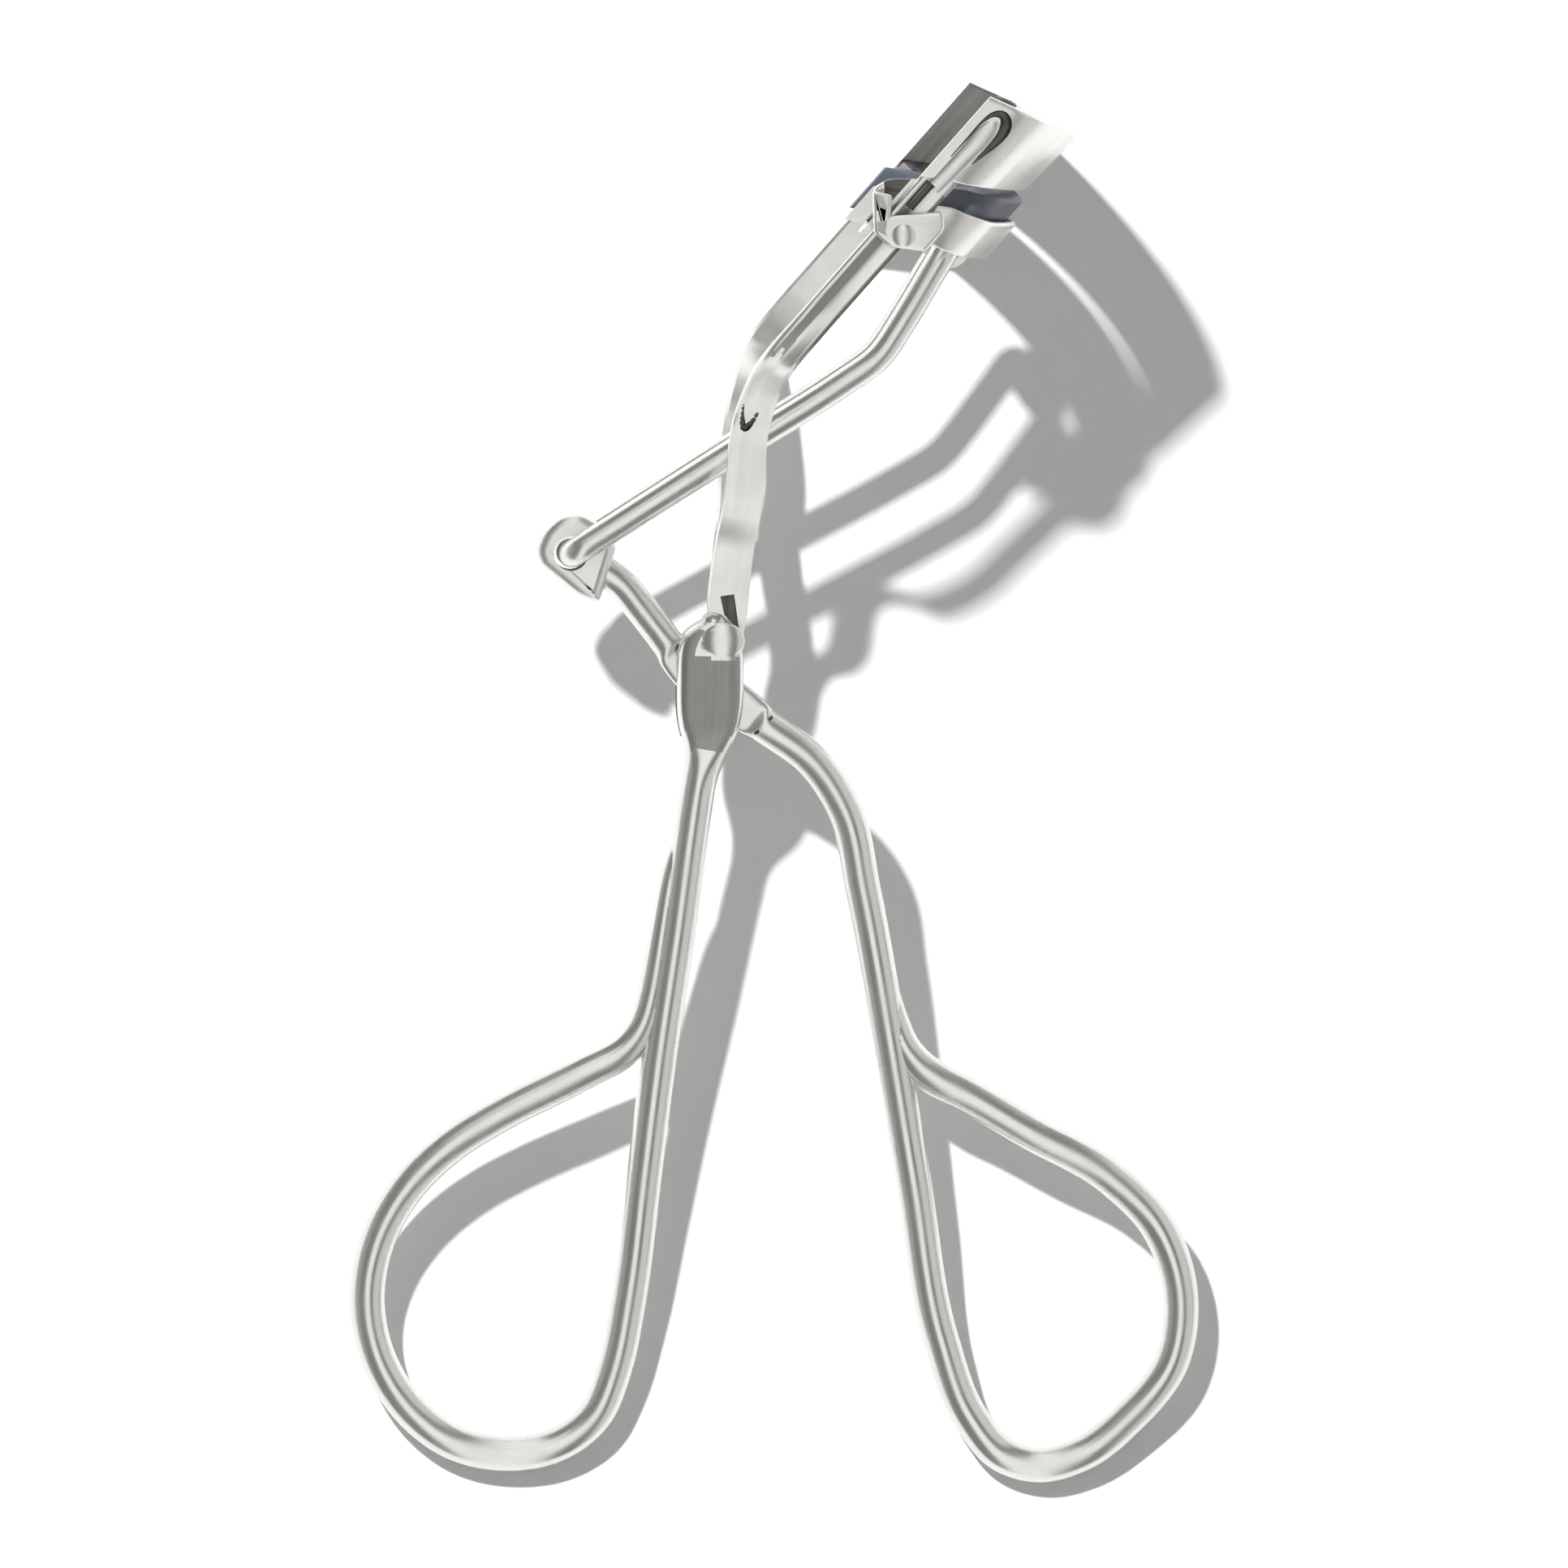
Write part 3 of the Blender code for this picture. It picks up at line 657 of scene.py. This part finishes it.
def shape_moving_handle():
    """Wire handle, its coined eye between the cheeks, and the lever rod beyond the pivot."""
    stations = even_path(MOVING_HANDLE, step=0.3, passes=1)
    handle = sweep_flat("moving_handle_form", stations)
    handle.data.materials.append(WIRE)
    cutters = [plug("bore", (0, 0), EYE_BORE_RADIUS, -4, 4)]
    for side in (1, -1):
        path = [Vector((u, v, side * w)) for u, v, w in CREASE]
        # The crease's walls take the near-black nickel: painted shade.
        cutters.append(shade_lined_cutter(tube("crease", path, CREASE_RADIUS, 12)))
    combine(handle, "DIFFERENCE", cutters)
    line = [spot(station) for station in stations]
    return dress(handle, "moving_handle", "lever", WIRE, line)


def shape_pivot_pin():
    """The pin, turned with a small chamfer at each end."""
    rings = [[spot(point, w) for point in circle((0, 0), radius)] for w, radius in PIN_PROFILE]
    pin = loft("pivot_pin_form", rings)
    return dress(pin, "pivot_pin", "frame", WIRE, [spot((0, 0), -3), spot((0, 0), 3)])


def shape_lever_cap():
    """Pressed cap with a rolled rim, cross-drilled for the drive link."""
    cap = cushion("lever_cap_form", fillet(CAP_OUTLINE, CAP_CORNER), -CAP_HALF, CAP_HALF, CAP_EDGE)
    reach = (SOCKET_SEAT - SOCKET_MOUTH).normalized()
    path = [Vector((*(SOCKET_MOUTH - reach * 1.6), 0)), Vector((*(SOCKET_SEAT + reach * 0.3), 0))]
    cap.data.materials.append(SHEET)
    # The hole's walls take the near-black nickel: painted shade.
    hole = shade_lined_cutter(plug("hole", KNUCKLE, CAP_HOLE_RADIUS, -3, 3))
    combine(cap, "DIFFERENCE", [tube("socket", path, SOCKET_RADIUS), hole])
    soften(cap, width=0.16)
    line = [spot(SOCKET_MOUTH), spot(SOCKET_SEAT + reach * 4)]
    return dress(cap, "lever_cap", "lever", SHEET, line)


def shape_drive_link():
    """One wire bent into a narrow bail between the cap and the lower jaw's lug."""
    leave = (Vector(LINK_LEG[0]) - KNUCKLE).normalized()
    arrive = (JAW_EYE - Vector(LINK_LEG[-1])).normalized()
    bend, level = LINK_BEND, LINK_HALF - LINK_BEND

    def turn(centre, away, first, last):
        for k in range(9):
            angle = math.radians(first + (last - first) * k / 8)
            yield Vector((*(centre + away * bend * (1 - math.cos(angle))), level + bend * math.sin(angle)))

    start = list(turn(KNUCKLE, leave, 0, 90))
    stop = list(turn(JAW_EYE, -arrive, 90, 0))
    leg = [start[-1]] + [Vector((*point, LINK_HALF)) for point in LINK_LEG] + [stop[0]]
    straight = even_path(leg, step=0.5, passes=4, places=3)
    half = [Vector((*KNUCKLE, 0.3))] + start[:-1] + straight + stop[1:]
    path = half + [Vector((point.x, point.y, -point.z)) for point in reversed(half)]
    link = tube("drive_link_form", path, LINK_RADIUS)
    line = [point * MM for point in path]
    return dress(link, "drive_link", "link", WIRE, line)


def rail_frames(side):
    """Centre, width and outward directions, width and thickness, all along one branch of the fork."""
    def straight(along):
        return Vector((*on_rail(along), RAIL_OFFSET, RAIL_WIDTH, RAIL_THICKNESS))

    start, steps = RAIL_STRAIGHT[-1], 27
    bent = [Vector(station) for station in RAIL_STATIONS] + [straight(along) for along in RAIL_STRAIGHT]
    path = smooth_path(bent, 8)
    path += [straight(start + (RAIL_TOP - start) * k / steps) for k in range(1, steps + 1)]
    frames = []
    for k, station in enumerate(path):
        before, after = path[max(k - 2, 0)], path[min(k + 2, len(path) - 1)]
        along = Vector((after - before)[:3]).normalized()
        wide = OUT.cross(along).normalized()
        deep = along.cross(wide)
        flip = Vector((1, 1, side))
        centre = Vector(station[:3]) * flip
        frames.append((centre, wide * flip, deep * flip, station[3], station[4]))
    return frames


def shape_jaw_frame():
    """Stem, forked rails with their pressed ribs, and the curved upper jaw plate."""
    half = PLATE_THICKNESS / 2
    plan = jaw_plan(RAIL_OFFSET, PLATE_CORNER, 0.0)
    low = jaw_line(plan, PLATE_FOOT, JAW_SLOPE)
    high = jaw_line(plan, PLATE_TOP, PLATE_TOP_SLOPE, PLATE_TOP_REACH)
    height = PLATE_TOP - PLATE_FOOT
    section = [(out, rise / height) for out, rise in rounded_box(half, 0, height, PLATE_EDGE)]
    plate = sweep_jaw("jaw_frame_form", low, high, section)
    rails, grooves = [], []
    for side in (1, -1):
        frames = rail_frames(side)
        rings = []
        for centre, wide, deep, width, thickness in frames:
            section = rail_section(width / 2, thickness / 2, centre.y)
            rings.append([(centre - wide * a + deep * b) * MM for a, b in section])
        rails += [loft("rail", rings), make_rib(side)]
        grooves += [make_hook(side), make_notch(frames), make_rail_slot(side), make_pit(side)]
    combine(plate, "UNION", rails)
    plate.data.materials.append(SHEET)
    combine(plate, "DIFFERENCE", grooves)
    plate.data.materials.append(SHADED)
    plate.data.materials.append(SATIN_AND_SHADE)
    pit = sum((Vector(point) for point in PIT_OUTLINE), Vector((0, 0))) / len(PIT_OUTLINE)
    plate_foot = on_rail(PLATE_FOOT).dot(RAIL)

    def in_pit(place, normal):
        near = (place.xy - pit).length < PIT_REACH and abs(place.z) < PIT_REACH
        return near and abs(normal.z) > PIT_FACING

    def in_far_plate(place, normal):
        above = place.xy.dot(RAIL) > plate_foot
        return above and FAR_PLATE[0] < place.z < FAR_PLATE[1] and normal.z > PLATE_FACING

    def in_valley(place, normal):
        below = place.y > RIB_FOOT + 1 and place.xy.dot(RAIL) < plate_foot
        leans = abs(normal.z) > VALLEY_FACING and Vector((*ACROSS, 0)).dot(normal) > VALLEY_LEAN
        return below and leans and abs(place.z) < RAIL_LIMIT

    # Painted shade: the faces in the hollow beside the stem's foot take the near-black nickel.
    paint(plate, RECESS_SHADE, in_pit)
    paint(plate, SHADED, in_far_plate)
    # Painted shade: the valleys beside the rails take the darker satin nickel.
    paint(plate, SATIN_AND_SHADE, in_valley)
    line = [centre * MM for centre, *_ in rail_frames(1)]
    return dress(plate, "jaw_frame", "frame", SHEET, line)


def rail_section(half, outer, v):
    """Section of one branch, as (across, out) pairs: flat on the stem, pressed into a rib above it."""
    rib = min(1.0, max(0.0, (v - RIB_FOOT) / (RIB_FULL - RIB_FOOT)))
    profile = [(half * share, outer + drop * rib) for share, drop in RIB_PROFILE]
    face = [point.to_tuple() for point in smooth_path([Vector(point) for point in profile], 4)]
    edge = 0.2
    back = [(-half, outer - edge - edge * rib), (-half, edge - outer), (edge - half, -outer),
            (half - edge, -outer), (half, edge - outer), (half, outer - edge)]
    return face + back


def on_plate(along, across, side):
    return Vector((*on_rail(along, across), side * (RAIL_OFFSET + PLATE_THICKNESS / 2)))


def make_hook(side):
    """The cutter for the groove round the end of one rail's rib, whose walls take painted shade."""
    path = even_path(RIB_HOOK, step=0.2, passes=2)
    places = [on_plate(along, across, side) for along, across, _ in path]
    return shade_lined_cutter(tube("hook", places, [radius for _, _, radius in path], 14))


def make_rib(side):
    """The part of a rail's rib that stands up on the jaw plate."""
    rings = []
    for along, across, half_wide, rise in smooth_path(RIB_CREST, 6):
        centre = on_plate(along, across, side)
        rings.append(section_ring(centre, Vector((*ACROSS, 0)), OUT, half_wide, rise, 2, 28))
    return loft("rib", rings)


def make_notch(frames):
    """The cutter for the V where a rail's rib begins, whose walls take painted shade."""
    path, radii = [], []
    for v, across, radius in smooth_path(RIB_NOTCH, 6):
        centre, wide, deep, _, thickness = min(frames, key=lambda nearest: abs(nearest[0].y - v))
        path.append(centre - wide * across + deep * (thickness / 2) + Vector((0, v - centre.y, 0)))
        radii.append(radius)
    return shade_lined_cutter(tube("notch", path, radii, 12))


def make_pit(side):
    """The cutter for the hollow between the stem's foot and the block's lobe, whose walls take painted shade.
    """
    return shade_lined_cutter(prism("pit", PIT_OUTLINE, side * PIT_FLOOR, side * PIT_MOUTH))


def make_rail_slot(side):
    """The cutter for the slot in one rail, just above its guide, whose walls take painted shade."""
    face = side * (RAIL_OFFSET + RAIL_THICKNESS / 2)
    path = [Vector((*on_rail(along, RAIL_SLOT_ACROSS), face)) for along in RAIL_SLOT]
    return shade_lined_cutter(tube("slot", path, RAIL_SLOT_RADIUS, 16))


def jaw_plan(half_span, corner, back):
    """(reach, w) points round a jaw: straight side, rounded corner, broad front, and back again."""
    centre = FRONT_REACH - FRONT_RADIUS
    corner_w = half_span - corner
    lean = math.asin(corner_w / (FRONT_RADIUS - corner))
    corner_reach = centre + (FRONT_RADIUS - corner) * math.cos(lean)
    half = [(back, half_span)]
    for k in range(15):
        turn = (math.pi / 2 - lean) * k / 14
        half.append((corner_reach + corner * math.sin(turn), corner_w + corner * math.cos(turn)))
    for k in range(1, 29):
        turn = lean * (1 - k / 28)
        half.append((centre + FRONT_RADIUS * math.cos(turn), FRONT_RADIUS * math.sin(turn)))
    return half + [(reach, -w) for reach, w in reversed(half[:-1])]


def jaw_line(plan, foot, slope, stretch=1.0):
    """The plan laid out from a height on the rails, as points in space."""
    start = on_rail(foot, -RAIL_WIDTH / 2)
    bulge = Vector((math.cos(slope), math.sin(slope))) * stretch
    return [Vector((*(start + bulge * reach), w)) for reach, w in plan]


def sweep_jaw(name, low, high, section):
    """A section, in (outward, share of the height) pairs, carried along two lines round a jaw."""
    rings = []
    for k, (foot, head) in enumerate(zip(low, high)):
        along = low[min(k + 1, len(low) - 1)] - low[max(k - 1, 0)]
        outward = (head - foot).cross(along).normalized()
        rings.append([(foot + outward * out + (head - foot) * share) * MM for out, share in section])
    return loft(name, rings)


def sweep_straight(name, plan, section):
    """A section, in (outward, up the rails) pairs, carried round the lower jaw's plan."""
    low = jaw_line(plan, HOLDER_FOOT, JAW_SLOPE)
    high = jaw_line(plan, HOLDER_FOOT + 1, JAW_SLOPE)
    return sweep_jaw(name, low, high, section)


def shape_lower_jaw():
    """The pad's channel, with a guide collar at each end and the drive link's lug under its middle."""
    wide, thin, floor, top = HOLDER_HALF, HOLDER_HALF - HOLDER_WALL, HOLDER_FLOOR, HOLDER_HEIGHT
    section = fillet(((-wide, 0), (wide, 0), (wide, top), (thin, top), (thin, floor), (-thin, floor),
                      (-thin, top), (-wide, top)), 0.2, 3)
    plan = jaw_plan(HOLDER_HALF_SPAN, HOLDER_CORNER, HOLDER_BACK)
    holder = sweep_straight("lower_jaw_form", plan, section)
    lug = plug("lug", JAW_EYE, LUG_RADIUS, -LUG_HALF, LUG_HALF)
    outline = fillet([on_rail(*corner) for corner in LUG_NECK], 0.3)
    neck = cushion("neck", outline, -LUG_HALF, LUG_HALF, 0.1)
    combine(holder, "UNION", [lug, neck, make_guide(1), make_guide(-1)])
    far_end = prism("far_end", [on_rail(*corner) for corner in FAR_TRIM], *FAR_TRIM_BAND)
    combine(holder, "DIFFERENCE", [plug("eye", JAW_EYE, LUG_HOLE_RADIUS, -3, 3), far_end])
    line = [point * MM for point in jaw_line(plan, HOLDER_FOOT, JAW_SLOPE)]
    return dress(holder, "lower_jaw", "sliding_jaw", SHEET, line)


def make_guide(side):
    """A collar of bent strip that rides on one rail, with a pressed boss on its outer face."""
    near, far = side * (RAIL_OFFSET + GUIDE_HALF_DEPTH), side * (RAIL_OFFSET - GUIDE_HALF_DEPTH)
    face = side * (RAIL_OFFSET + GUIDE_FACE)
    inner, outer = sorted((far, face))
    body = cushion("guide", fillet(GUIDE_BODY if side > 0 else GUIDE_FAR_BODY, 0.4), inner, outer, 0.2)
    body.data.materials.append(SHEET)
    if side > 0:
        low, high = sorted((face - side * GUIDE_FACE, near))
        strip = cushion("strip", fillet(GUIDE_STRIP, 0.4), low, high, 0.25)
        wall = cushion("wall", fillet(GUIDE_WALL, 0.3), low, high, 0.25)
        boss = ball("boss", (*BOSS, near), (BOSS_RADIUS, BOSS_RADIUS, BOSS_RISE))
        combine(body, "UNION", [strip, wall, boss])
        # The pit's walls take the near-black nickel: painted shade.
        pit = prism("pit", GUIDE_PIT, face - GUIDE_PIT_DEPTH, face + 0.5)
        combine(body, "DIFFERENCE", [shade_lined_cutter(pit)])
    middle = side * RAIL_OFFSET
    slot = prism("slot", [on_rail(*corner) for corner in GUIDE_SLOT],
                 middle - GUIDE_SLOT_HALF_DEPTH, middle + GUIDE_SLOT_HALF_DEPTH)
    return combine(body, "DIFFERENCE", [slot])


def shape_lash_pad():
    """The rubber strip that sits in the lower jaw's channel, crowned along its top."""
    low, top, half = HOLDER_FLOOR + PAD_GAP, HOLDER_HEIGHT + PAD_RISE, PAD_HALF
    section = fillet(((half, low), (half, top), (-half, top), (-half, low)), 0.4, 5)
    plan = jaw_plan(HOLDER_HALF_SPAN, HOLDER_CORNER, PAD_BACK)
    pad = sweep_straight("lash_pad_form", plan, section)
    line = [point * MM for point in jaw_line(plan, HOLDER_FOOT, JAW_SLOPE)]
    return dress(pad, "lash_pad", "sliding_jaw", RUBBER, line)


# Studio.

def sky(azimuth, from_zenith, distance):
    """A place above the curler: azimuth is measured from +X towards +Y, in degrees."""
    a, z = math.radians(azimuth), math.radians(from_zenith)
    return Vector((math.cos(a) * math.sin(z), math.sin(a) * math.sin(z), math.cos(z))) * distance


def add_light(name, place, size, watts, target=(0, 0, 0.01)):
    data = bpy.data.lights.new(name, "AREA")
    data.shape = "RECTANGLE"
    data.size, data.size_y = size
    data.energy = watts
    lamp = bpy.data.objects.new(name, data)
    bpy.context.scene.collection.objects.link(lamp)
    lamp.location = place
    lamp.rotation_euler = (Vector(target) - place).to_track_quat("-Z", "Y").to_euler()
    lamp.visible_camera = lamp.visible_glossy = False
    return lamp


def add_vault(name, across, along, distance, glow, rows=12, columns=24):
    """A curved card overhead, which only reflections see."""
    material, _, shader = new_material(name)
    shader.inputs["Base Color"].default_value = (0, 0, 0, 1)
    shader.inputs["Roughness"].default_value = 1.0
    shader.inputs["Emission Color"].default_value = (1, 0.995, 0.98, 1)
    shader.inputs["Emission Strength"].default_value = glow
    shape = bmesh.new()
    net = []
    for row in range(rows + 1):
        a = math.radians(across[0] + (across[1] - across[0]) * row / rows)
        net.append([])
        for column in range(columns + 1):
            b = math.radians(along[0] + (along[1] - along[0]) * column / columns)
            way = Vector((math.sin(a), math.cos(a) * math.sin(b), math.cos(a) * math.cos(b)))
            net[-1].append(shape.verts.new(way * distance))
    for lower, upper in zip(net, net[1:]):
        for k in range(columns):
            shape.faces.new((lower[k], lower[k + 1], upper[k + 1], upper[k]))
    card = mesh_object(name, shape)
    card.data.materials.append(material)
    card.visible_camera = card.visible_diffuse = card.visible_shadow = False
    return card


def make_studio():
    world = bpy.data.worlds.new("studio_air")
    bpy.context.scene.world = world
    world.use_nodes = True
    world.node_tree.nodes["Background"].inputs["Color"].default_value = AIR
    material, tree, shader = new_material("studio_floor")
    place = add_node(tree, "ShaderNodeTexCoord").outputs["Object"]
    paper = add_ramp(tree, noise(tree, place, 30.0), (0.3, 0.9), (0.7, 0.93))
    tree.links.new(paper, shader.inputs["Base Color"])
    shader.inputs["Roughness"].default_value = 0.8
    shader.inputs["Specular IOR Level"].default_value = 0.1
    shape = bmesh.new()
    bmesh.ops.create_grid(shape, x_segments=4, y_segments=4, size=3.0)
    floor = mesh_object("studio_floor", shape)
    floor.data.materials.append(material)
    key = add_light("key_light", sky(*KEY_PLACE), KEY_SIZE, KEY_WATTS)
    [add_vault(*card) for card in CARDS]


def make_camera():
    """Almost straight down on the curler, from far off, as it was seen."""
    data = bpy.data.cameras.new("camera")
    data.sensor_width = 36.0
    data.lens = VIEW_LENS
    data.clip_start, data.clip_end = 0.1, 20.0
    camera = bpy.data.objects.new("camera", data)
    bpy.context.scene.collection.objects.link(camera)
    bpy.context.scene.camera = camera
    away = Vector((*VIEW_LEAN, 0))
    away.z = math.sqrt(1 - away.x ** 2 - away.y ** 2)
    camera.location = VIEW_CENTRE + away * VIEW_DISTANCE
    right = Vector((VIEW_ROLL, 1, 0)).cross(away).normalized()
    camera.rotation_euler = Matrix((right, away.cross(right), away)).transposed().to_euler()


shape_fixed_handle()
shape_pivot_pin()
shape_moving_handle()
shape_lever_cap()
shape_drive_link()
shape_jaw_frame()
shape_lower_jaw()
shape_lash_pad()
make_studio()
make_camera()
bpy.context.scene.view_settings.view_transform = "Standard"
